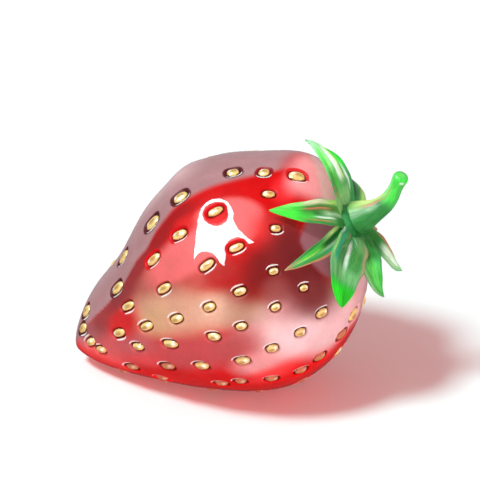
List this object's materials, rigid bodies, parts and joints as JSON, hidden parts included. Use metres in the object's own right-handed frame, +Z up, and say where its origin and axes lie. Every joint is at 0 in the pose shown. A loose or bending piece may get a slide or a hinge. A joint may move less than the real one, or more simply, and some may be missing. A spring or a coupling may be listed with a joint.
{
  "type": "strawberry",
  "caption": "Ripe strawberry lying on its side: a pointed glossy fruit with seeds in pits, a rosette of pointed sepals and a bent stalk.",
  "frame": {"origin": "middle of the bounding box in plan, at the level of the table it lies on", "axes": "+X from the fruit's tip towards its calyx, +Y away from the side the picture shows, +Z up from the table"},
  "size_m": [0.0454, 0.0316, 0.0368],
  "materials": {
    "skin": "glossy red fruit skin, slightly waxy, with gold seeds in its pits",
    "sepal_green": "satin leaf green with lighter streaks",
    "stem_green": "satin stalk green, yellower on the lit side"
  },
  "bodies": {
    "root": {"fruit": "skin", "calyx": "sepal_green", "stem": "stem_green"}
  },
  "joints": []
}
